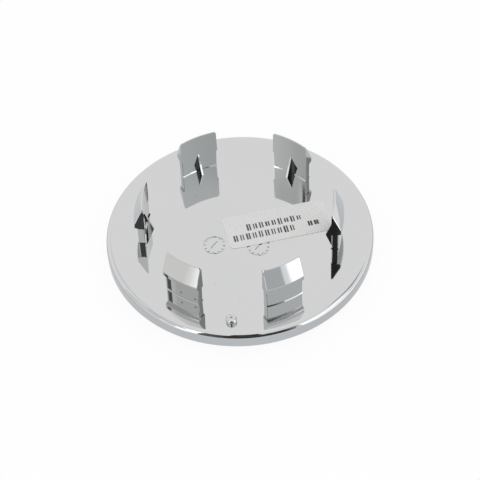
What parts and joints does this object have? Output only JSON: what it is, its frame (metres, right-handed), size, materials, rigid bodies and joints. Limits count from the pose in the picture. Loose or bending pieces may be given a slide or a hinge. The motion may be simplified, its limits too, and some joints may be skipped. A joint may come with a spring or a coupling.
{
  "type": "wheel center cap",
  "caption": "Round chrome-plated cap for the centre of a car wheel, with a ring of barbed snap clips on its flat back and a small paper label.",
  "frame": {"origin": "centre of the front face, on the surface the cap lies on", "axes": "+Z along the cap's axis, from the front face to the clip tips; +X through the middle of one clip"},
  "size_m": [0.074, 0.074, 0.0188],
  "materials": {
    "chrome": "polished",
    "paper": "matte"
  },
  "bodies": {
    "root": {"cap": "chrome", "label": "paper"}
  },
  "joints": []
}
